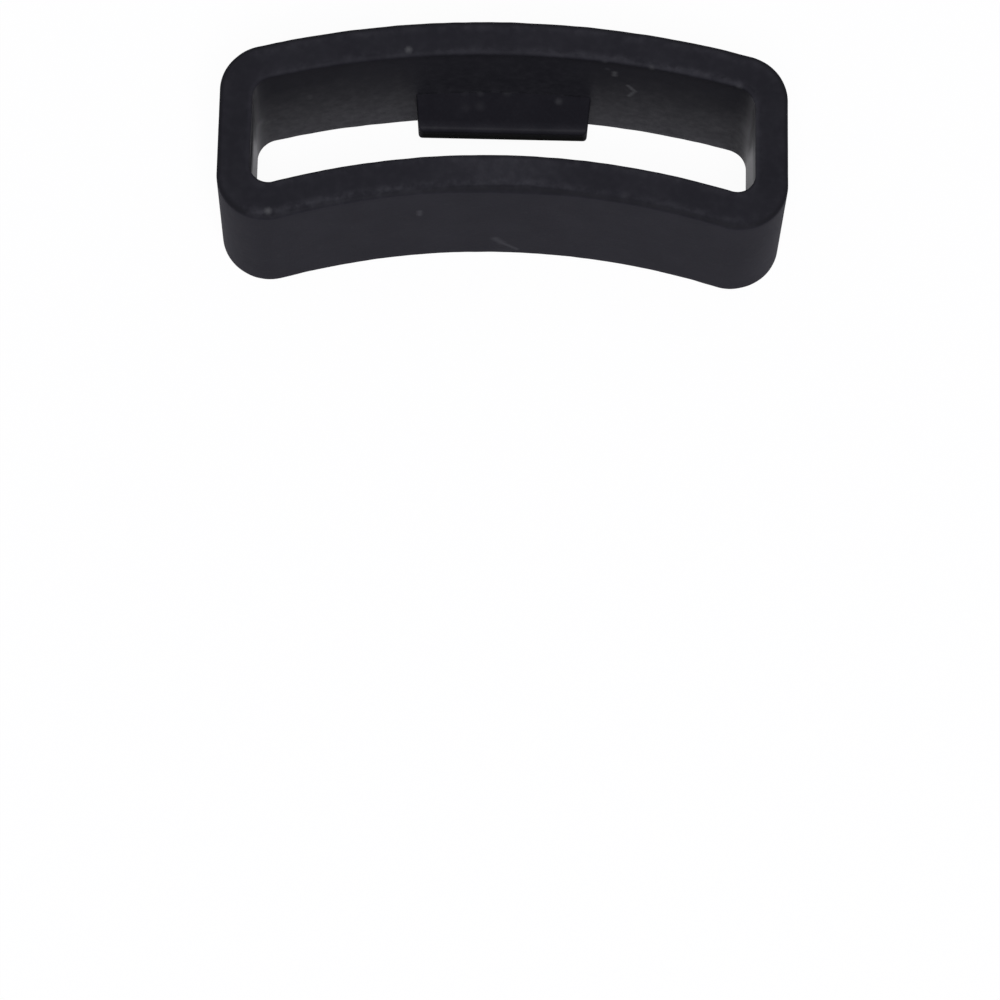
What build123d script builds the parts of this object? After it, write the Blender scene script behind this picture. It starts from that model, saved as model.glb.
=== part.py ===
from build123d import *

import os
from math import sqrt

# Watch strap keeper: an arched silicone loop with a locating tab held in its outer wall.
#
# The loop slides along a slotted strap and holds the strap's free end down. The tab reaches in
# from the middle of the outer wall and drops into one of the strap's slots, so the loop stays put.
#
# The loop stands on one edge, as it does when it is put down by itself. +Z runs along the strap,
# X runs across it, and +Y points away from the wrist. The origin is the centre of the footprint,
# on the surface that the loop stands on. Sizes are in millimetres.

# Strap that the keeper fits
strap_width = 26.0
strap_slot_width = 2.0
strap_slot_length = 12.2

# Loop
strap_side_clearance = 0.8
opening_height = 6.0
end_wall = 1.8
outer_wall = 2.0
wrist_wall = 2.2
loop_width = 8.8
outer_arch_radius = 52.5
wrist_arch_radius = 41.0
outer_corner_round = 2.7
wrist_corner_round = 2.7
opening_outer_round = 1.3
opening_wrist_round = 1.0
edge_round = 0.2

# Locating tab
tab_slot_clearance = 0.35
tab_end_clearance = 1.2
tab_reach = 2.4
tab_taper = 0.2
tab_below_middle = 1.35
tab_corner_round = 0.25
tab_edge_round = 0.3
foot_overhang = 0.7
foot_thickness = 0.7

# Sizes of the loop that follow
opening_length = strap_width + 2 * strap_side_clearance
loop_length = opening_length + 2 * end_wall
loop_height = outer_wall + opening_height + wrist_wall
opening_outer_radius = outer_arch_radius - outer_wall
opening_wrist_radius = wrist_arch_radius + wrist_wall

# Sizes of the tab that follow
tab_thickness = strap_slot_width - 2 * tab_slot_clearance
tab_root_width = strap_slot_length - 2 * tab_end_clearance
tab_tip_width = tab_root_width - 2 * tab_taper
foot_length = tab_root_width + 2 * foot_overhang
foot_width = tab_thickness + 2 * foot_overhang
tab_middle_z = loop_width / 2 - tab_below_middle


def arch_y(centre_y, radius, x):
    """Height at x of an arch of this radius, whose centre is on the Y axis."""
    return centre_y + sqrt(radius**2 - x**2)


# The arch lets the wrist side's corners hang below the middle of the wrist wall
corner_centre_x = loop_length / 2 - wrist_corner_round
corner_centre_drop = wrist_arch_radius - arch_y(
    0, wrist_arch_radius + wrist_corner_round, corner_centre_x
)
loop_depth = loop_height + corner_centre_drop + wrist_corner_round

outer_face_y = loop_depth / 2
opening_outer_y = outer_face_y - outer_wall
wrist_face_y = outer_face_y - loop_height
outer_arch_centre = outer_face_y - outer_arch_radius
wrist_arch_centre = wrist_face_y - wrist_arch_radius

tab_tip_y = opening_outer_y - tab_reach
tab_root_y = arch_y(outer_arch_centre, opening_outer_radius, tab_root_width / 2)
foot_middle_y = opening_outer_y + outer_wall / 2


def arched_oblong(length, outer_radius, wrist_radius, outer_round, wrist_round):
    """Outline between the outer arch and the wrist arch, with straight ends and round corners."""
    end_x = length / 2
    outer_end_y = arch_y(outer_arch_centre, outer_radius, end_x)
    wrist_end_y = arch_y(wrist_arch_centre, wrist_radius, end_x)
    with BuildSketch() as oblong:
        with BuildLine():
            ThreePointArc(
                (-end_x, outer_end_y),
                (0, outer_arch_centre + outer_radius),
                (end_x, outer_end_y),
            )
            Line((end_x, outer_end_y), (end_x, wrist_end_y))
            ThreePointArc(
                (end_x, wrist_end_y),
                (0, wrist_arch_centre + wrist_radius),
                (-end_x, wrist_end_y),
            )
            Line((-end_x, wrist_end_y), (-end_x, outer_end_y))
        make_face()
        fillet(oblong.vertices().sort_by(Axis.Y)[-2:], radius=outer_round)
        fillet(oblong.vertices().sort_by(Axis.Y)[:2], radius=wrist_round)
    return oblong.sketch


loop_outline = arched_oblong(
    loop_length,
    outer_arch_radius,
    wrist_arch_radius,
    outer_corner_round,
    wrist_corner_round,
)
opening_outline = arched_oblong(
    opening_length,
    opening_outer_radius,
    opening_wrist_radius,
    opening_outer_round,
    opening_wrist_round,
)

# Locating tab: a tapered tongue that shows in the opening, and a flat foot inside the outer wall
with BuildPart() as locating_tab:
    with BuildSketch(Plane.XY.offset(tab_middle_z)):
        with BuildLine():
            Polyline(
                (-tab_root_width / 2, foot_middle_y),
                (-tab_root_width / 2, tab_root_y),
                (-tab_tip_width / 2, tab_tip_y),
                (tab_tip_width / 2, tab_tip_y),
                (tab_root_width / 2, tab_root_y),
                (tab_root_width / 2, foot_middle_y),
                close=True,
            )
        make_face()
    extrude(amount=tab_thickness / 2, both=True)
    tip = locating_tab.faces().sort_by(Axis.Y)[0]
    fillet(tip.edges().filter_by(Axis.Z), radius=tab_corner_round)
    tip = locating_tab.faces().sort_by(Axis.Y)[0]
    fillet(tip.edges().filter_by(Axis.X), radius=tab_edge_round)
    with Locations((0, foot_middle_y, tab_middle_z)):
        Box(foot_length, foot_thickness, foot_width)
locating_tab.part.label = "locating_tab"

# Loop, moulded round the tab's foot
with BuildPart() as keeper_loop:
    with BuildSketch():
        add(loop_outline)
        add(opening_outline, mode=Mode.SUBTRACT)
    extrude(amount=loop_width)
    levels = keeper_loop.edges().group_by(Axis.Z)
    fillet(levels[0] + levels[-1], radius=edge_round)
    add(locating_tab.part, mode=Mode.SUBTRACT)
keeper_loop.part.label = "keeper_loop"

os.makedirs("parts", exist_ok=True)
export_step(keeper_loop.part, "parts/keeper_loop.step")
export_step(locating_tab.part, "parts/locating_tab.step")
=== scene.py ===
from math import atan2, cos, pi, radians, sin, sqrt

import bpy
from bpy.props import FloatProperty, FloatVectorProperty, PointerProperty
from bpy.types import Operator, Panel, PropertyGroup
from mathutils import Matrix, Vector, noise


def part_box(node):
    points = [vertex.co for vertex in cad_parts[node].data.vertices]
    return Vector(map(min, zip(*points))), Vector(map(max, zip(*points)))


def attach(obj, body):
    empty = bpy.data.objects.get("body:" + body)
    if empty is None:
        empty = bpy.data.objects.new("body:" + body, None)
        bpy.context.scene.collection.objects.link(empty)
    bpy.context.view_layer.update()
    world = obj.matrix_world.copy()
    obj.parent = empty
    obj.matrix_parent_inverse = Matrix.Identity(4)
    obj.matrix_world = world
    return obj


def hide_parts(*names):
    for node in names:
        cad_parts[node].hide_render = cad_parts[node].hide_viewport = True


bl_info = {
    "name": "Watch strap keeper",
    "version": (1, 0, 0),
    "blender": (4, 5, 0),
    "location": "3D View > Sidebar > Keeper",
    "description": "Silicone strap keeper with its locating tab, standing on one edge",
    "category": "Object",
}

MM = 0.001
BODY = "root"
# BLACK is only used for painted shade: the darkened folds and faces of the loop and the tab's darkened
# tip
BLACK = (0.0, 0.0, 0.0, 1.0)
WHITE = (1.0, 1.0, 1.0, 1.0)

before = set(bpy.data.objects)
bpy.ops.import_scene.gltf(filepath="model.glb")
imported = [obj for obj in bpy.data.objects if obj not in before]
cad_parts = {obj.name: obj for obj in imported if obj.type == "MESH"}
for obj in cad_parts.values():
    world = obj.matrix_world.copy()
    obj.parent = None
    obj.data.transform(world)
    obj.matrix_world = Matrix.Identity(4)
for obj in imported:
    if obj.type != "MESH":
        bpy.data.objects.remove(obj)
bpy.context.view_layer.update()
LOOP_LOW, LOOP_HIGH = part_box("keeper_loop")

# The tab's box is its foot's, whose middle plane is also the tongue's
TAB_LOW, TAB_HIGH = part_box("locating_tab")
TAB_THICKNESS = 1.3 * MM
TAB_MIDDLE = (TAB_LOW.z + TAB_HIGH.z) / 2
TAB_TOP = TAB_MIDDLE + TAB_THICKNESS / 2


def metres(name, description, default):
    """A size in metres."""
    return FloatProperty(
        name=name,
        description=description,
        default=default,
        min=0.0,
        precision=5,
        unit="LENGTH",
        subtype="DISTANCE",
    )


def place(name, description, default):
    """A place in the scene, in metres."""
    return FloatVectorProperty(
        name=name,
        description=description,
        default=default,
        size=3,
        precision=5,
        unit="LENGTH",
        subtype="TRANSLATION",
    )


def colour(name, description, default):
    """A plain colour."""
    return FloatVectorProperty(
        name=name,
        description=description,
        default=default,
        min=0.0,
        max=1.0,
        size=3,
        subtype="COLOR",
    )


def share(name, description, default):
    """A number from 0 to 1."""
    return FloatProperty(
        name=name,
        description=description,
        default=default,
        min=0.0,
        max=1.0,
        subtype="FACTOR",
    )


# Sizes and colours that can be changed


class LoopSizes(PropertyGroup):
    length: metres("Length", "Across the strap, over all", LOOP_HIGH.x - LOOP_LOW.x)
    width: metres("Width", "Along the strap", LOOP_HIGH.z)
    height: metres("Height", "Outer face to wrist face, at the middle", 10.2 * MM)
    outer_face: metres("Outer face", "How far the outer face lies from the middle", 6.074 * MM)
    outer_wall: metres("Outer wall", "Thickness of the outer wall", 2.0 * MM)
    wrist_wall: metres("Wrist wall", "Thickness of the wall against the wrist", 2.2 * MM)
    end_wall: metres("End wall", "Thickness of the two end walls", 1.8 * MM)
    outer_arch: metres("Outer arch", "Radius of the outer face", 52.5 * MM)
    wrist_arch: metres("Wrist arch", "Radius of the wrist face", 41.0 * MM)
    corner_round: metres("Corner round", "Radius of the loop's corners", 2.7 * MM)
    opening_outer_round: metres("Opening's outer round", "At the outer wall", 1.3 * MM)
    opening_wrist_round: metres("Opening's wrist round", "At the wrist wall", 1.0 * MM)
    rim_round: metres("Rim round", "Radius where a wall meets an edge face", 0.22 * MM)
    rim_unevenness: share("Rim unevenness", "How much the rim's radius wanders", 0.35)
    # The paler rim band is partly wear and partly painted highlight; the darker fold band is painted
    # shade
    rim_band: metres("Rim band", "Width of the paler band along a rim", 0.6 * MM)
    fold_band: metres("Fold band", "Width of the darker band below a rim", 0.6 * MM)
    brow_drop: metres("Brow drop", "How far the wrist wall's rim sinks at its middle", 0.05 * MM)


class TabSizes(PropertyGroup):
    root_width: metres("Root width", "Width where the tab leaves the wall", 9.8 * MM)
    tip_width: metres("Tip width", "Width at the tip", 9.4 * MM)
    thickness: metres("Thickness", "Along the strap", TAB_THICKNESS)
    middle: metres("Middle", "Height of the tab's middle plane", TAB_MIDDLE)
    reach: metres("Reach", "How far the tab stands out of the wall", 2.4 * MM)
    tip_round: metres("Tip round", "Radius of the tip's long edges", 0.3 * MM)
    corner_round: metres("Corner round", "Radius of the tip's corners", 0.25 * MM)
    side_round: metres("Side round", "Radius of the long edges at the sides", 0.1 * MM)
    foot_length: metres("Foot length", "Across the strap, inside the wall", TAB_HIGH.x - TAB_LOW.x)
    foot_width: metres("Foot width", "Along the strap, inside the wall", TAB_HIGH.z - TAB_LOW.z)
    foot_thickness: metres("Foot thickness", "Across the wall", 0.7 * MM)


class Finishes(PropertyGroup):
    silicone: colour("Silicone", "Main colour of the loop", (0.0110, 0.0107, 0.0150))
    # This greyer colour is the silicone's own skin, and also the colour of its painted highlights and
    # painted light
    bloom_and_sheen: colour("Bloom", "Greyer skin of the silicone", (0.0290, 0.0285, 0.0360))
    tab: colour("Tab", "Colour of the locating tab", (0.0100, 0.0096, 0.0131))
    # This colour draws real specks and lint, and also a painted reflection on the opening's right end
    # wall
    dust_and_sheen: colour("Dust", "Specks and lint", (0.060, 0.060, 0.068))
    roughness: share("Roughness", "Of the silicone's skin", 0.72)
    gloss_roughness: share("Gloss roughness", "Of the glossier skin inside the opening", 0.43)
    lining_gloss: share("Lining gloss", "Of the opening's long walls, at the lower edge", 0.32)
    end_gloss: share("End gloss", "Of the opening's end walls", 0.95)
    # Painted reflection: how much paler colour is laid on the opening's end walls
    end_wall_painted_reflection: share("End bloom", "How much bloom lies on the opening's end walls", 0.35)
    # Partly rim wear and partly painted highlight: how much paler colour lies on the rims
    rim_wear_and_highlight: share("Worn bloom", "How much bloom lies on a worn rim", 0.42)
    # Painted shade: how far the folds beside the rims, and the outer faces, are darkened
    fold_painted_shade: share("Folds", "How dark the folds beside the rims are", 0.45)
    clouds: metres("Clouds", "Size of the silicone's broad, faint shades", 2.4 * MM)
    patches: metres("Patches", "Size of the worn patches on the rims", 0.9 * MM)
    mottle: metres("Mottle", "Size of the silicone's small shades", 0.484 * MM)
    grain: metres("Grain", "Size of the mould's fine grain", 0.22 * MM)
    pits: metres("Pits", "Size of the finest pits in the grain", 0.055 * MM)
    grain_depth: metres("Grain depth", "Height of the fine grain", 0.006 * MM)
    tab_roughness: share("Tab roughness", "Of the tab's skin", 0.55)
    # Painted highlight: how much paler colour lies on the tab's upper edge
    tab_edge_painted_highlight: share("Tab edge bloom", "How much bloom lies on its upper edge", 0.19)
    tab_edge_gloss: share("Tab edge gloss", "Of the tab's upper edge", 0.06)
    tab_clouds: metres("Tab clouds", "Size of the tab's faint shades", 1.6 * MM)
    tab_grain: metres("Tab grain", "Size of the tab's fine grain", 0.176 * MM)
    tab_grain_depth: metres("Tab grain depth", "Height of the tab's grain", 0.0036 * MM)


class StageSettings(PropertyGroup):
    floor: colour("Floor", "Colour of the floor", (0.87, 0.85, 0.94))
    floor_size: metres("Floor size", "Side of the square floor", 3.0)
    floor_clouds: metres("Floor clouds", "Size of the floor's faint shades", 0.09)
    floor_white: share("White floor", "How far the floor that is seen is lifted to white", 0.95)
    floor_gloss: share("White floor in gloss", "How much of that gloss shows", 0.4)
    room: FloatProperty(name="Room light", description="Strength of the room", default=0.25)
    room_gloss: share("White room in gloss", "How much of the white room gloss shows", 0.6)
    lamp_place: place("Softbox", "Where the softbox stands", (0.03, -0.36, 0.70))
    lamp_aim: place("Softbox aim", "What the softbox points at", (0.0, 0.0, 4.0 * MM))
    lamp_size: metres("Softbox size", "Side of the square softbox", 0.3)
    lamp_power: FloatProperty(
        name="Softbox power",
        description="Power of the softbox",
        default=5.6,
        unit="POWER",
        subtype="POWER",
    )
    lens: FloatProperty(
        name="Lens",
        description="Focal length in millimetres",
        default=168.7,
        unit="CAMERA",
        subtype="DISTANCE_CAMERA",
    )
    sensor: FloatProperty(
        name="Sensor",
        description="Width in millimetres",
        default=36.0,
        unit="CAMERA",
        subtype="DISTANCE_CAMERA",
    )
    roll: FloatProperty(
        name="Roll",
        description="How far the camera leans clockwise",
        default=radians(2.161),
        unit="ROTATION",
        subtype="ANGLE",
    )
    camera_place: place(
        "Camera", "Where the camera stands", (-1.303 * MM, -105.874 * MM, 243.44 * MM)
    )
    camera_aim: place("Aim", "What the camera points at", (0.224 * MM, -20.395 * MM, 4.3 * MM))
    nearest: metres("Nearest", "Where the camera's view starts", 0.01)
    farthest: metres("Farthest", "Where the camera's view ends", 20.0)


# Marks on the surface, in millimetres: where each speck lies, its radius and how well it shows
SPECKS = (
    ((-5.3, 4.2, 8.8), 0.24, 0.85),
    ((-12.7, -5.6, 8.8), 0.25, 0.95),
    ((5.5, 3.7, 8.7), 0.22, 0.35),
    ((8.1, 3.5, 8.7), 0.22, 0.4),
    ((5.7, 3.8, 7.8), 0.20, 0.3),
    ((12.9, 2.4, 8.7), 0.22, 0.35),
    ((3.1, 3.6, 3.7), 0.25, 0.36),
    ((-1.3, 3.2, 3.7), 0.35, 0.14),
    ((-2.1, 3.1, 3.7), 0.33, 0.09),
    ((-1.3, 4.0, 3.7), 0.24, 0.20),
    ((0.2, 4.1, 3.7), 0.30, 0.20),
    ((-2.2, 4.0, 3.7), 0.26, 0.09),
    ((-3.8, 1.8, 3.7), 0.20, 0.08),
)
# Longer marks: smears, a bent thread of lint, a pale nick and a painted reflection. Two ends, radius and
# how well it shows
THREADS = (
    ((-4.5, -4.4, 6.3), (-4.5, -4.4, 5.8), 0.20, 0.40),
    ((-10.8, 2.9, 5.3), (-10.8, 2.9, 4.9), 0.18, 0.25),
    ((6.1, 3.7, 7.5), (6.1, 3.7, 7.1), 0.20, 0.9),
    ((6.9, 3.6, 6.0), (7.3, 3.5, 5.4), 0.17, 1.0),
    ((7.3, 3.5, 5.4), (7.0, 3.6, 4.7), 0.16, 0.9),
    ((13.8, 1.2, 8.2), (13.8, -0.8, 8.2), 0.50, 0.5),
    # A painted reflection, not a smear: it lightens the middle of the right end wall
    ((13.8, 1.5, 4.2), (13.8, 0.4, 6.8), 1.00, 1.0),
    ((-13.6, 1.5, 3.6), (-13.6, 1.3, 3.2), 0.70, 0.9),
    ((-0.3, -4.1, 2.1), (0.1, -4.1, 1.5), 0.30, 0.35),
    ((0.1, -4.1, 1.5), (0.9, -4.1, 0.7), 0.18, 0.40),
)
# Runs below the rim where the opening's end walls are dull: two ends, radius and strength
DULL_RUNS = (
    ((-13.8, -3.4, 8.2), (-13.8, -0.9, 7.2), 2.2, 1.0),
    ((13.8, -2.6, 8.0), (13.8, -0.8, 7.6), 1.4, 0.35),
)
# A mark has faded out at this many of its radii
MARK_FADE = 1.3
# Size of the bites in a mark's ragged edge, and how deep they go
RAGGED_GRAIN = 0.12 * MM
RAGGED_REACH = 0.14 * MM

# Materials


class Value:
    """A node's output that can be used in sums. Each operator adds its Math node."""

    def __init__(self, recipe, socket):
        self.recipe = recipe
        self.socket = socket

    def __add__(self, other):
        return self.recipe.numbers("ADD", self, other)

    __radd__ = __add__

    def __mul__(self, other):
        return self.recipe.numbers("MULTIPLY", self, other)

    __rmul__ = __mul__

    def __sub__(self, other):
        return self.recipe.numbers("SUBTRACT", self, other)

    def __rsub__(self, other):
        return self.recipe.numbers("SUBTRACT", other, self)

    def step(self, start, end):
        """0 before start, 1 after end, and smooth between them. Start may be above end."""
        settings = {"interpolation_type": "SMOOTHSTEP"}
        inputs = {"Value": self, "From Min": start, "From Max": end}
        return self.recipe.add("ShaderNodeMapRange", settings, inputs)


class Recipe:
    """The nodes of one material or of the room."""

    def __init__(self, owner):
        owner.use_nodes = True
        self.tree = owner.node_tree
        self.tree.nodes.clear()

    def add(self, kind, settings=None, inputs=None, output=0):
        """Adds a node, sets it up, fills its sockets and gives one of its outputs."""
        node = self.tree.nodes.new(kind)
        for name, value in (settings or {}).items():
            setattr(node, name, value)
        for name, value in (inputs or {}).items():
            socket = node.inputs[name]
            if isinstance(value, Value):
                self.tree.links.new(value.socket, socket)
            else:
                socket.default_value = value
        return Value(self, node.outputs[output]) if len(node.outputs) else None

    def surface_point(self):
        """The point on the surface, in metres."""
        return self.add("ShaderNodeTexCoord", output="Object")

    def attribute(self, name):
        """A number that the mesh carries at each point."""
        return self.add("ShaderNodeAttribute", {"attribute_name": name}, output="Fac")

    def grain(self, point, size, detail, roughness):
        """Noise from 0 to 1 with grains of about this size in metres."""
        inputs = {
            "Vector": point,
            "Scale": 1.0 / size,
            "Detail": detail,
            "Roughness": roughness,
        }
        return self.add("ShaderNodeTexNoise", None, inputs, "Fac")

    def blend(self, factor, first, second):
        """A colour that goes from the first to the second."""
        settings = {"data_type": "RGBA"}
        return self.add("ShaderNodeMix", settings, {0: factor, 6: first, 7: second}, 2)

    def numbers(self, operation, *terms):
        """The result of a Math node that works on these numbers."""
        return self.add("ShaderNodeMath", {"operation": operation}, dict(enumerate(terms)))

    def vectors(self, operation, *terms, output=0):
        """The result of a Vector Math node that works on these vectors."""
        inputs = dict(enumerate(terms))
        return self.add("ShaderNodeVectorMath", {"operation": operation}, inputs, output)

    def ragged(self, point, size, reach):
        """The point, pushed about by noise, so that what is drawn there gets a ragged edge."""
        push = self.add("ShaderNodeTexNoise", None, {"Vector": point, "Scale": 1.0 / size}, "Color")
        push = self.vectors("SUBTRACT", push, (0.5, 0.5, 0.5))
        return self.vectors("MULTIPLY_ADD", push, (reach, reach, reach), point)

    def near(self, point, middle, radius):
        """1 at the middle of a mark, fading to 0 around it."""
        distance = self.vectors("DISTANCE", point, middle, output="Value")
        return distance.step(radius * MARK_FADE, 0.0)

    def along(self, point, start, end, radius):
        """1 along a thin line between two ends, fading to 0 beside it."""
        way = end - start
        part = self.vectors(
            "DOT_PRODUCT",
            self.vectors("SUBTRACT", point, start),
            way / way.length_squared,
            output="Value",
        )
        part = self.numbers("MINIMUM", self.numbers("MAXIMUM", part, 0.0), 1.0)
        return self.near(point, self.vectors("MULTIPLY_ADD", part, way, start), radius)

    def runs(self, point, table):
        """The strongest of some runs, each with two ends, a radius and a strength."""
        shown = None
        for start, end, radius, strength in table:
            run = self.along(point, Vector(start) * MM, Vector(end) * MM, radius * MM) * strength
            shown = run if shown is None else self.numbers("MAXIMUM", shown, run)
        return shown

    def marks(self, point):
        """How well the specks and the longer marks show."""
        point = self.ragged(point, RAGGED_GRAIN, RAGGED_REACH)
        shown = self.runs(point, THREADS)
        for middle, radius, strength in SPECKS:
            mark = self.near(point, Vector(middle) * MM, radius * MM) * strength
            shown = self.numbers("MAXIMUM", shown, mark)
        return shown

    def bump(self, height, depth):
        """A bump from a varying height, of this depth in metres."""
        inputs = {"Strength": 1.0, "Distance": depth, "Height": height}
        return self.add("ShaderNodeBump", None, inputs)

    def finish(self, shader):
        """Makes a shader the surface of the material."""
        self.add("ShaderNodeOutputMaterial", None, {"Surface": shader})


def opaque(shade):
    """A colour with its alpha."""
    return (*shade, 1.0)


def silicone(finishes):
    """Moulded silicone: nearly black, dull, with a fine mould grain and a greyer skin, and with painted
    light and shade.
    """
    material = bpy.data.materials.new("black_silicone")
    recipe = Recipe(material)
    point = recipe.surface_point()
    rim, fold, pale, inside, end = (recipe.attribute(name) for name in LOOP_SHADES)

    cloud = recipe.grain(point, finishes.clouds, detail=3.0, roughness=0.55)
    patch = recipe.grain(point, finishes.patches, detail=3.0, roughness=0.6)
    mottle = recipe.grain(point, finishes.mottle, detail=2.0, roughness=0.6)
    fine = recipe.grain(point, finishes.grain, detail=3.0, roughness=0.6)
    pits = recipe.grain(point, finishes.pits, detail=2.0, roughness=0.5)

    # Thin greyer skin all over; painted highlights on the rims, partly wear too; painted light on pale
    # places and end walls
    thin = cloud.step(0.3, 0.75) * 0.14 + mottle.step(0.35, 0.75) * 0.16
    # Rim wear and painted highlight together make the rims paler
    wear_and_highlight = rim * (patch.step(0.40, 0.62) * 0.7 + mottle.step(0.40, 0.70) * 0.3)
    painted_light_and_wear = wear_and_highlight * finishes.rim_wear_and_highlight + pale * (mottle * 0.5 + 0.1) + end * finishes.end_wall_painted_reflection
    base = recipe.blend(thin + painted_light_and_wear, opaque(finishes.silicone), opaque(finishes.bloom_and_sheen))
    # Painted shade: the folds beside the rims and the outer faces are darkened towards black
    base = recipe.blend(fold * finishes.fold_painted_shade, base, BLACK)
    base = recipe.blend(recipe.marks(point), base, opaque(finishes.dust_and_sheen))

    # Inside the opening the skin is glossier towards the lower edge and on the end walls
    low = (inside + (patch - 0.5) * 0.35).step(0.05, 0.85) * (mottle * 1.6 + 0.2)
    dull = recipe.runs(point, DULL_RUNS) * end
    gloss = low * (1.0 - end) * finishes.lining_gloss + (end - dull) * finishes.end_gloss

    roughness = finishes.roughness + (mottle - 0.5) * 0.2 + dull * 0.3
    height = (fine - 0.5) + (pits - 0.5) * 0.45 + (mottle - 0.5) * 0.8
    shader = recipe.add(
        "ShaderNodeBsdfPrincipled",
        None,
        {
            "Base Color": base,
            "Roughness": roughness,
            "IOR": 1.42,
            "Specular IOR Level": 0.1,
            "Coat Weight": gloss,
            "Coat Roughness": finishes.gloss_roughness,
            "Coat IOR": 1.4,
            "Normal": recipe.bump(height, finishes.grain_depth),
        },
    )
    recipe.finish(shader)
    return material


def tab_plastic(finishes):
    """The tab's firmer, smoother and darker material."""
    material = bpy.data.materials.new("tab_plastic")
    recipe = Recipe(material)
    point = recipe.surface_point()
    edge, tip = (recipe.attribute(name) for name in TAB_SHADES)
    cloud = recipe.grain(point, finishes.tab_clouds, detail=3.0, roughness=0.55)
    fine = recipe.grain(point, finishes.tab_grain, detail=2.0, roughness=0.5)

    # A greyer skin lies thinly all over; the paler upper edge is a painted highlight and the black tip
    # is painted shade
    edge = edge * (cloud.step(0.25, 0.6) * 0.4 + 0.6)
    thin = cloud.step(0.35, 0.75) * 0.12 + fine.step(0.4, 0.8) * 0.08
    bloom_and_sheen = thin + edge * finishes.tab_edge_painted_highlight
    base = recipe.blend(bloom_and_sheen, opaque(finishes.tab), opaque(finishes.bloom_and_sheen))
    base = recipe.blend(tip, base, BLACK)
    base = recipe.blend(recipe.marks(point), base, opaque(finishes.dust_and_sheen))
    shader = recipe.add(
        "ShaderNodeBsdfPrincipled",
        None,
        {
            "Base Color": base,
            "Roughness": finishes.tab_roughness + (fine - 0.5) * 0.12,
            "IOR": 1.45,
            "Specular IOR Level": 0.03,
            "Coat Weight": edge * finishes.tab_edge_gloss,
            "Coat Roughness": 0.5,
            "Coat IOR": 1.4,
            "Normal": recipe.bump(fine, finishes.tab_grain_depth),
        },
    )
    recipe.finish(shader)
    return material


# Outlines and meshes


def arch_y(centre, radius, x):
    """Height of an arch at x."""
    return centre + sqrt(radius**2 - x**2)


def arc(centre, radius, start, end, steps, outward=1.0):
    """Points along an arc, each with the normal that points out of the outline."""
    made = []
    for k in range(steps):
        angle = start + (end - start) * k / steps
        way = Vector((cos(angle), sin(angle)))
        made.append((Vector(centre) + way * radius, way * outward))
    return made


def straight(start, end, normal, steps):
    """Points along a straight run, each with its normal."""
    start, end = Vector(start), Vector(end)
    return [(start.lerp(end, k / steps), Vector(normal)) for k in range(steps)]


def quad_mesh(name, rows, closed_rows):
    """A mesh from rows of points that each close on themselves.

    The last row meets the first where the rows close too. Otherwise both are capped.
    """
    count = len(rows[0])
    points = [point for row in rows for point in row]
    faces = []
    spans = len(rows) if closed_rows else len(rows) - 1
    for k in range(spans):
        here, there = k * count, (k + 1) % len(rows) * count
        for j in range(count):
            beyond = (j + 1) % count
            faces.append((here + j, there + j, there + beyond, here + beyond))
    if not closed_rows:
        faces.append(tuple(range(count)))
        faces.append(tuple(range(len(points) - 1, len(points) - count - 1, -1)))
    mesh = bpy.data.meshes.new(name)
    mesh.from_pydata(points, [], faces)
    mesh.validate()
    mesh.shade_smooth()
    return mesh


def point_numbers(mesh, name, numbers):
    """Stores a number at each point of a mesh."""
    attribute = mesh.attributes.new(name, "FLOAT", "POINT")
    attribute.data.foreach_set("value", numbers)


def add_piece(name, mesh, material, node):
    """Puts a piece in the scene in the place of its CAD node."""
    mesh.materials.append(material)
    piece = bpy.data.objects.new(name, mesh)
    bpy.context.scene.collection.objects.link(piece)
    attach(piece, BODY)
    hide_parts(node)


def fade(distance, reach):
    """1 where the distance is 0, falling evenly to 0 at the reach."""
    return max(0.0, 1 - distance / reach)


# The loop

# Stations along each arch, corner and end of the outline
ARCH_STEPS = 170
CORNER_STEPS = 26
END_STEPS = 34
# Points up a wall, round a rim and across an edge face at each station
WALL_STEPS = 24
RIM_STEPS = 7
EDGE_STEPS = 18
WALL_TO_FACE = [j / RIM_STEPS for j in range(RIM_STEPS + 1)]
FACE_TO_WALL = WALL_TO_FACE[::-1]
OUT_TO_IN = range(1, EDGE_STEPS)
IN_TO_OUT = OUT_TO_IN[::-1]

# The shades that the loop's mesh carries: rims that are partly worn and partly painted highlight,
# painted shade in the folds beside them and on the outer faces, painted light on paler places, how deep
# a point lies inside the opening, and the opening's end walls
LOOP_SHADES = ("rim", "fold", "pale", "inside", "end")

# The waves in a rim's radius: strength, length, and the noise's seed at the first rim and the
# step to the next rim's
RIM_WAVES = (
    (0.6, 2.6 * MM, 3.1, 7),
    (0.55, 0.7 * MM, 1.7, 5),
)

# A station is on the wrist wall while the outline's normal leans sideways less than this, and on
# the outer wall while the opening's normal points away from the wrist more than this
WRIST_LEAN = 0.35
OUTER_LEAN = 0.5

# The wrist wall's outer rim is worn towards the left, and its painted highlight grows that way: where
# both are full, the least of them, what they add to the rim's shade and what they take from its fold's
# painted shade
WRIST_WEAR_AND_HIGHLIGHT_REACH = 8.0 * MM
WRIST_WEAR_AND_HIGHLIGHT_LEAST = 0.3
WRIST_WEAR_AND_HIGHLIGHT_GAIN = 1.6
WRIST_WEAR_AND_HIGHLIGHT_FOLD_LOSS = 0.6
# The outer wall's inner rim is worn towards the right, and its painted highlight grows that way
OUTER_WEAR_AND_HIGHLIGHT_REACH = 6.0 * MM

# The brow is the middle of the wrist wall's upper edge, whose rim sinks and is rounder, and whose
# paleness is a painted highlight
BROW_REACH = 4.6 * MM
BROW_ROUNDER = 0.5

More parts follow.
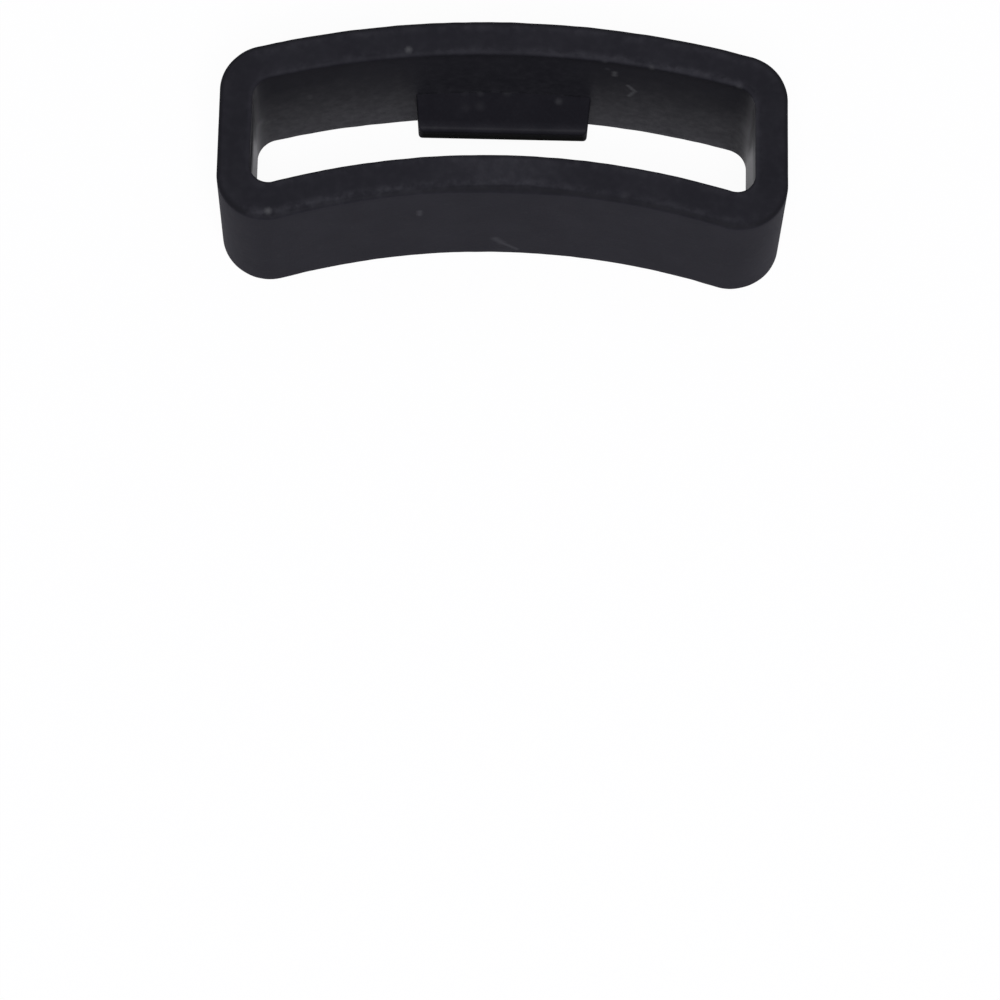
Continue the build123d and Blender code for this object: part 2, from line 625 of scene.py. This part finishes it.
# The paler patch above the tab is painted light, lifting the shade that falls there. It is as wide as
# the tab's foot:
# its strength at the tab and at the rim, what a low band along the tab adds, that band's share of the
# height, and how squarely the patch ends at its sides
PATCH_AT_TAB = 1.1
PATCH_AT_RIM = 0.35
PATCH_BAND = 0.4
PATCH_BAND_HEIGHT = 0.15
PATCH_SQUARENESS = 6

# Bands on the edge faces, partly wear and partly painted highlight, in widths of the rim band: how far
# from its rim each is strongest, and how far it reaches on either side
OUTER_BAND_PEAK = 0.3
OUTER_BAND_REACH = 0.6
INNER_BAND_PEAK = 0.1
INNER_BAND_REACH = 0.5

# The rims' shades, partly wear and partly painted highlight, where their roundings meet the edge face,
# and what the loop's ends take off
OUTER_RIM = 0.5
INNER_RIM = 0.9
END_RIM_LOSS = 0.6

# The folds' painted shade, in turns of a rounding: where the outer one is darkest, and where the inner
# one ends
OUTER_FOLD_PEAK = 0.65
INNER_FOLD_REACH = 0.4
# Painted shade on the outer faces and, at the ends, on the edge faces
FACE_FOLD = 0.15
EDGE_FOLD = 0.3
# What the opening's painted fold shade loses, what the rim's wear and painted highlight give back, and
# what the end walls take more
INNER_FOLD_LOSS = 0.6
INNER_FOLD_WEAR_AND_HIGHLIGHT = 0.3
INNER_FOLD_END = 0.4

# Painted light: how pale the loop's outer ends are, and the opening's end walls at their top, right and
# left
OUTER_END_PALE = 0.85
RIGHT_END_PALE = 1.2
LEFT_END_PALE = 0.5


def arched_oblong(half, outer_centre, outer_radius, wrist_centre, wrist_radius, rounds):
    """Points and normals round an arched oblong, anticlockwise from its outer arch's right end."""
    outer_round, wrist_round = rounds
    outer_x = half - outer_round
    outer_y = arch_y(outer_centre, outer_radius - outer_round, outer_x)
    wrist_x = half - wrist_round
    wrist_y = arch_y(wrist_centre, wrist_radius + wrist_round, wrist_x)
    outer_turn = atan2(outer_y - outer_centre, outer_x)
    wrist_turn = atan2(wrist_y - wrist_centre, wrist_x)
    return (
        arc((0, outer_centre), outer_radius, outer_turn, pi - outer_turn, ARCH_STEPS)
        + arc((-outer_x, outer_y), outer_round, pi - outer_turn, pi, CORNER_STEPS)
        + straight((-half, outer_y), (-half, wrist_y), (-1, 0), END_STEPS)
        + arc((-wrist_x, wrist_y), wrist_round, pi, 2 * pi - wrist_turn, CORNER_STEPS)
        + arc((0, wrist_centre), wrist_radius, pi - wrist_turn, wrist_turn, ARCH_STEPS, -1.0)
        + arc((wrist_x, wrist_y), wrist_round, pi + wrist_turn, 2 * pi, CORNER_STEPS)
        + straight((half, wrist_y), (half, outer_y), (1, 0), END_STEPS)
        + arc((outer_x, outer_y), outer_round, 0, outer_turn, CORNER_STEPS)
    )


def wander(spot, size, seed):
    """Slow change from about -1 to 1 along the outline, in waves of this length in metres."""
    return noise.noise(Vector((spot.x, spot.y, 0)) / size + Vector((0, 0, seed)))


def uneven_round(spot, rim, sizes):
    """The radius of one of the four rims here, which wanders a little along the rim."""
    change = 0.0
    for strength, size, seed, seed_step in RIM_WAVES:
        change += strength * wander(spot, size, seed + seed_step * rim)
    return sizes.rim_round * (1 + sizes.rim_unevenness * change)


def above_tab(spot, z, width):
    """How strongly the painted light of the paler patch above the tab shows at a point of the outer
    wall.
    """
    if z < TAB_TOP or abs(spot.x) > TAB_HIGH.x:
        return 0.0
    up = (z - TAB_TOP) / (width - TAB_TOP)
    strength = PATCH_AT_TAB + (PATCH_AT_RIM - PATCH_AT_TAB) * up
    strength += PATCH_BAND * fade(up, PATCH_BAND_HEIGHT)
    return strength * (1 - (spot.x / TAB_HIGH.x) ** PATCH_SQUARENESS)


def loop_section(outer, opening, sizes):
    """The loop's section at one station: its points, each with its shades.

    The station has a spot and a way out of the outline, on the outer face and in the opening.
    """
    (spot_out, way_out), (spot_in, way_in) = outer, opening
    width = sizes.width
    top_out, top_in, low_in, low_out = (
        uneven_round(spot, rim, sizes) for rim, spot in enumerate((spot_out, spot_in, spot_in, spot_out))
    )
    on_wrist = way_out.y < 0 and abs(way_out.x) < WRIST_LEAN
    on_outer = way_in.y > OUTER_LEAN
    wear_and_highlight_out = min(1.0, max(WRIST_WEAR_AND_HIGHLIGHT_LEAST, -spot_out.x / WRIST_WEAR_AND_HIGHLIGHT_REACH)) if on_wrist else 0.0
    wear_and_highlight_in = min(1.0, max(0.0, spot_in.x / OUTER_WEAR_AND_HIGHLIGHT_REACH)) if on_outer else 0.0
    shown_out = 1 + WRIST_WEAR_AND_HIGHLIGHT_GAIN * wear_and_highlight_out
    shown_in = 1 + wear_and_highlight_in
    fold_loss = INNER_FOLD_LOSS - INNER_FOLD_WEAR_AND_HIGHLIGHT * wear_and_highlight_in + INNER_FOLD_END * abs(way_in.x)
    # 1 on the opening's end walls, falling quickly to 0 round their corners
    at_end = way_in.x**4
    # The end walls' painted light, stronger on the right
    pale_end = (RIGHT_END_PALE if way_in.x > 0 else LEFT_END_PALE) * at_end
    brow = fade(spot_out.x**2, BROW_REACH**2) ** 2 if on_wrist else 0.0
    top = width - sizes.brow_drop * brow
    top_out *= 1 + BROW_ROUNDER * brow
    section = []

    def put(spot, z, rim=0.0, fold=0.0, pale=0.0, lining=0.0):
        """Adds a point. Lining is 1 inside the opening and falls to 0 round its rims."""
        rim *= 1 - END_RIM_LOSS * abs(way_out.x)
        fold *= 1 - lining * fold_loss
        inside = (1 - z / width) * lining
        end = (at_end * lining) ** 2
        y = min(max(spot.y, LOOP_LOW.y), LOOP_HIGH.y)
        section.append(((spot.x, y, z), (rim, fold, pale, inside, end)))

    def wall(spot, start, end, lining):
        """A wall from one height to another."""
        for j in range(1, WALL_STEPS):
            z = start + (end - start) * j / WALL_STEPS
            if lining:
                fold = fade(width - sizes.rim_round - z, sizes.fold_band)
                pale = pale_end * z / width
                pale += above_tab(spot, z, width) if on_outer else 0.0
            else:
                fold = FACE_FOLD * (1 - way_out.x**2)
                pale = OUTER_END_PALE * way_out.x**2
            put(spot, z, fold=fold, pale=pale, lining=lining)

    def rounding(spot, inward, radius, level, up, turns, lining):
        """A rim's rounding. A turn is 0 at the wall and 1 at the edge face, and up is -1 below."""
        above = max(0, up)
        for turn in turns:
            sunk = radius * (1 - cos(pi / 2 * turn))
            z = level - up * radius * (1 - sin(pi / 2 * turn))
            if lining:
                rim = INNER_RIM * turn * shown_in
                fold = fade(turn, INNER_FOLD_REACH)
                pale = 2 * pale_end * (1 - turn)
            else:
                rim = OUTER_RIM * turn * shown_out
                fold = fade(abs(turn - OUTER_FOLD_PEAK), OUTER_FOLD_PEAK)
                fold *= 1 - WRIST_WEAR_AND_HIGHLIGHT_FOLD_LOSS * wear_and_highlight_out
                pale = 0.0
            put(spot + inward * sunk, z, rim, fold * above, pale * above, lining * (1 - turn))

    def edge_face(round_out, round_in, z_out, z_in, pale, steps):
        """An edge face, between the outer rim's rounding and the opening's."""
        start, end = spot_out - way_out * round_out, spot_in + way_in * round_in
        for j in steps:
            across = j / EDGE_STEPS
            from_rim = min(across, 1 - across) * (end - start).length / sizes.rim_band
            if across < 0.5:
                band = fade(abs(from_rim - OUTER_BAND_PEAK), OUTER_BAND_REACH) * shown_out
            else:
                band = fade(abs(from_rim - INNER_BAND_PEAK), INNER_BAND_REACH) * shown_in
            z = z_out + (z_in - z_out) * across
            put(start.lerp(end, across), z, band, EDGE_FOLD * abs(way_out.x), pale)

    # Up the outer face, over the upper edge face, down the opening and back under
    wall(spot_out, low_out, top - top_out, 0.0)
    rounding(spot_out, -way_out, top_out, top, 1, WALL_TO_FACE, 0.0)
    edge_face(top_out, top_in, top, width, brow, OUT_TO_IN)
    rounding(spot_in, way_in, top_in, width, 1, FACE_TO_WALL, 1.0)
    wall(spot_in, width - top_in, low_in, 1.0)
    rounding(spot_in, way_in, low_in, 0, -1, WALL_TO_FACE, 1.0)
    edge_face(low_out, low_in, 0, 0, 0.0, IN_TO_OUT)
    rounding(spot_out, -way_out, low_out, 0, -1, FACE_TO_WALL, 0.0)
    return section


def loop_mesh(sizes):
    """The loop as one closed skin, section by section round its outline."""
    outer_centre = sizes.outer_face - sizes.outer_arch
    wrist_centre = sizes.outer_face - sizes.height - sizes.wrist_arch
    outer = arched_oblong(
        sizes.length / 2,
        outer_centre,
        sizes.outer_arch,
        wrist_centre,
        sizes.wrist_arch,
        (sizes.corner_round, sizes.corner_round),
    )
    opening = arched_oblong(
        sizes.length / 2 - sizes.end_wall,
        outer_centre,
        sizes.outer_arch - sizes.outer_wall,
        wrist_centre,
        sizes.wrist_arch + sizes.wrist_wall,
        (sizes.opening_outer_round, sizes.opening_wrist_round),
    )
    sections = [loop_section(*pair, sizes) for pair in zip(outer, opening)]
    rows = [[point for point, shades in section] for section in sections]
    mesh = quad_mesh("keeper_loop_skin", rows, closed_rows=True)
    for k, name in enumerate(LOOP_SHADES):
        point_numbers(mesh, name, [shades[k] for section in sections for point, shades in section])
    return mesh


# The tab

# Points along a ring's long side, its short side and a corner
LONG_SIDE_STEPS = 90
SHORT_SIDE_STEPS = 10
RING_CORNER_STEPS = 4
# Rings round the tip's rounding, and from there back to the foot
TIP_STEPS = 10
TONGUE_STEPS = 24
# How far in from the tongue's sides the tip face's own rings lie
TIP_INSETS = (0.40 * MM, 0.34 * MM)

# The shades that the tab's mesh carries: a painted highlight on its upper edge and painted shade on its
# tip
TAB_SHADES = ("edge", "tip")
# How far behind the tip's rounding the painted edge highlight ends, and how soon it takes over from the
# tip's painted shade
EDGE_REACH = 0.35 * MM
EDGE_START = 2.3


def rounded_ring(half_x, half_z, radius):
    """Points round a rectangle with round corners, anticlockwise seen from the wrist side."""
    x, z = half_x - radius, half_z - radius
    corners = [Vector(corner) for corner in ((x, z), (-x, z), (-x, -z), (x, -z))]
    sides = (LONG_SIDE_STEPS, SHORT_SIDE_STEPS) * 2
    ring = []
    for k, (corner, steps) in enumerate(zip(corners, sides)):
        turn = pi / 2 * (k + 1)
        way = Vector((cos(turn), sin(turn)))
        ring += arc(corner, radius, turn - pi / 2, turn, RING_CORNER_STEPS)
        ring += straight(corner + way * radius, corners[(k + 1) % 4] + way * radius, way, steps)
    return [point for point, normal in ring]


def tab_mesh(sizes, wall_y, foot_y):
    """The tab from its tip to the foot that is held inside the wall, ring by ring."""
    tip_y = wall_y - sizes.reach
    half_z = sizes.thickness / 2
    tip_half = sizes.tip_width / 2
    foot_front = foot_y - sizes.foot_thickness / 2
    foot_back = foot_y + sizes.foot_thickness / 2
    growth = (sizes.root_width - sizes.tip_width) / 2 / sizes.reach
    side = sizes.side_round
    rings = []
    shades = []

    def ring(y, half_x, half_height, radius, edge=0.0, tip=0.0):
        """Adds a ring. Its upper part has the painted edge highlight and half of the tip's painted
        shade.
        """
        outline = rounded_ring(half_x, half_height, radius)
        rings.append([(x, y, sizes.middle + z) for x, z in outline])
        for x, z in outline:
            upper = z > half_height / 2
            shades.append((edge, tip / 2) if upper else (0.0, tip))

    for inset in TIP_INSETS:
        ring(tip_y, tip_half - inset, half_z - inset, side / 2, tip=1.0)
    for j in range(TIP_STEPS + 1):
        turned = sin(pi / 2 * j / TIP_STEPS)
        y = tip_y + sizes.tip_round * (1 - cos(pi / 2 * j / TIP_STEPS))
        half_x = tip_half + growth * (y - tip_y) - sizes.corner_round * (1 - turned)
        half_height = half_z - sizes.tip_round * (1 - turned)
        edge = min(1.0, EDGE_START * turned)
        ring(y, half_x, half_height, side / 2 * (1 + turned), edge, 1 - edge)
    tongue_y = tip_y + sizes.tip_round
    for j in range(1, TONGUE_STEPS + 1):
        y = tongue_y + (foot_front - tongue_y) * j / TONGUE_STEPS
        ring(y, tip_half + growth * (y - tip_y), half_z, side, fade(y - tongue_y, EDGE_REACH))
    for y in (foot_front, foot_back):
        ring(y, sizes.foot_length / 2, sizes.foot_width / 2, side)
    mesh = quad_mesh("locating_tab_skin", rings, closed_rows=False)
    for k, name in enumerate(TAB_SHADES):
        point_numbers(mesh, name, [pair[k] for pair in shades])
    return mesh


# The stage

# How much lighter the floor's clouds are than the floor
FLOOR_CLOUD_GAIN = 1.01


def seen_directly(recipe, gloss):
    """1 where the camera sees a surface, also through glass, and this share of it in gloss."""
    camera, glass, glossy = (
        recipe.add("ShaderNodeLightPath", output=output)
        for output in ("Is Camera Ray", "Is Transmission Ray", "Is Glossy Ray")
    )
    seen = recipe.numbers("MAXIMUM", camera, glass)
    return recipe.numbers("MAXIMUM", seen, glossy * gloss)


def floor_material(stage):
    """Pale floor that shows nearly white and keeps a soft shadow."""
    material = bpy.data.materials.new("pale_floor")
    recipe = Recipe(material)
    point = recipe.surface_point()
    cloud = recipe.grain(point, stage.floor_clouds, detail=3.0, roughness=0.5)
    lighter = tuple(min(1.0, part * FLOOR_CLOUD_GAIN) for part in stage.floor)
    base = recipe.blend(cloud, opaque(stage.floor), opaque(lighter))
    plain = recipe.add(
        "ShaderNodeBsdfPrincipled",
        None,
        {"Base Color": base, "Roughness": 0.8, "Specular IOR Level": 0.1},
    )
    white = recipe.add("ShaderNodeEmission", None, {"Color": WHITE, "Strength": 1.0})
    factor = seen_directly(recipe, stage.floor_gloss) * stage.floor_white
    recipe.finish(recipe.add("ShaderNodeMixShader", None, {0: factor, 1: plain, 2: white}))
    return material


# The tools that build the pieces


class KEEPER_OT_loop(Operator):
    """Builds the silicone loop"""

    bl_idname = "keeper.loop"
    bl_label = "Build the loop"

    def execute(self, context):
        scene = context.scene
        material = silicone(scene.keeper_finishes)
        mesh = loop_mesh(scene.keeper_loop)
        add_piece("silicone_loop", mesh, material, "keeper_loop")
        return {"FINISHED"}


class KEEPER_OT_tab(Operator):
    """Builds the locating tab"""

    bl_idname = "keeper.tab"
    bl_label = "Build the locating tab"

    def execute(self, context):
        scene = context.scene
        loop = scene.keeper_loop
        wall_y = loop.outer_face - loop.outer_wall
        material = tab_plastic(scene.keeper_finishes)
        mesh = tab_mesh(scene.keeper_tab, wall_y, wall_y + loop.outer_wall / 2)
        add_piece("slot_tab", mesh, material, "locating_tab")
        return {"FINISHED"}


class KEEPER_OT_stage(Operator):
    """Builds the floor, the room, the softbox and the camera"""

    bl_idname = "keeper.stage"
    bl_label = "Build the stage"

    def execute(self, context):
        scene = context.scene
        stage = scene.keeper_stage
        self.add_floor(scene, stage)
        self.add_room(scene, stage)
        self.add_softbox(scene, stage)
        self.add_camera(scene, stage)
        scene.view_settings.view_transform = "Standard"
        return {"FINISHED"}

    def add_floor(self, scene, stage):
        """A plain square floor under the loop."""
        half = stage.floor_size / 2
        corners = [(-half, -half, 0), (half, -half, 0), (half, half, 0), (-half, half, 0)]
        mesh = bpy.data.meshes.new("floor")
        mesh.from_pydata(corners, [], [(0, 1, 2, 3)])
        mesh.materials.append(floor_material(stage))
        floor = bpy.data.objects.new("floor", mesh)
        scene.collection.objects.link(floor)

    def add_room(self, scene, stage):
        """A dim room that is white where it is seen."""
        world = bpy.data.worlds.new("studio")
        scene.world = world
        recipe = Recipe(world)
        room = recipe.add("ShaderNodeBackground", None, {"Color": WHITE, "Strength": stage.room})
        white = recipe.add("ShaderNodeBackground", None, {"Color": WHITE, "Strength": 1.0})
        factor = seen_directly(recipe, stage.room_gloss)
        shown = recipe.add("ShaderNodeMixShader", None, {0: factor, 1: room, 2: white})
        recipe.add("ShaderNodeOutputWorld", None, {"Surface": shown})

    def add_softbox(self, scene, stage):
        """One square softbox that faces the loop."""
        lamp = bpy.data.lights.new("key_softbox", "AREA")
        lamp.shape = "SQUARE"
        lamp.size = stage.lamp_size
        lamp.energy = stage.lamp_power
        softbox = bpy.data.objects.new("key_softbox", lamp)
        softbox.location = stage.lamp_place
        softbox.rotation_mode = "QUATERNION"
        way = Vector(stage.lamp_aim) - Vector(stage.lamp_place)
        softbox.rotation_quaternion = way.to_track_quat("-Z", "Y")
        scene.collection.objects.link(softbox)

    def add_camera(self, scene, stage):
        """A camera at the photo's viewing angle."""
        lens = bpy.data.cameras.new("camera")
        lens.sensor_width = stage.sensor
        lens.lens = stage.lens
        lens.clip_start = stage.nearest
        lens.clip_end = stage.farthest
        camera = bpy.data.objects.new("camera", lens)
        spot = Vector(stage.camera_place)
        back = (spot - Vector(stage.camera_aim)).normalized()
        right = Vector((0, 0, 1)).cross(back).normalized()
        upright = Matrix((right, back.cross(right), back)).transposed().to_4x4()
        lean = Matrix.Rotation(stage.roll, 4, "Z")
        camera.matrix_world = Matrix.Translation(spot) @ upright @ lean
        scene.collection.objects.link(camera)
        scene.camera = camera


class KEEPER_PT_tools(Panel):
    """Lists the tools that build the keeper"""

    bl_idname = "KEEPER_PT_tools"
    bl_label = "Watch strap keeper"
    bl_space_type = "VIEW_3D"
    bl_region_type = "UI"
    bl_category = "Keeper"

    def draw(self, context):
        for tool in TOOLS:
            self.layout.operator(tool.bl_idname)
        for name in GROUPS:
            group = getattr(context.scene, name)
            box = self.layout.box()
            for key in group.__annotations__:
                box.prop(group, key)


TOOLS = (KEEPER_OT_loop, KEEPER_OT_tab, KEEPER_OT_stage)
GROUPS = {
    "keeper_loop": LoopSizes,
    "keeper_tab": TabSizes,
    "keeper_finishes": Finishes,
    "keeper_stage": StageSettings,
}


def register():
    for group in GROUPS.values():
        bpy.utils.register_class(group)
    for tool in (*TOOLS, KEEPER_PT_tools):
        bpy.utils.register_class(tool)
    for name, group in GROUPS.items():
        setattr(bpy.types.Scene, name, PointerProperty(type=group))


def unregister():
    for name in GROUPS:
        delattr(bpy.types.Scene, name)
    for tool in (KEEPER_PT_tools, *reversed(TOOLS)):
        bpy.utils.unregister_class(tool)
    for group in reversed(GROUPS.values()):
        bpy.utils.unregister_class(group)


def main():
    """Builds the scene."""
    register()
    bpy.ops.keeper.loop()
    bpy.ops.keeper.tab()
    bpy.ops.keeper.stage()


if __name__ == "__main__":
    main()
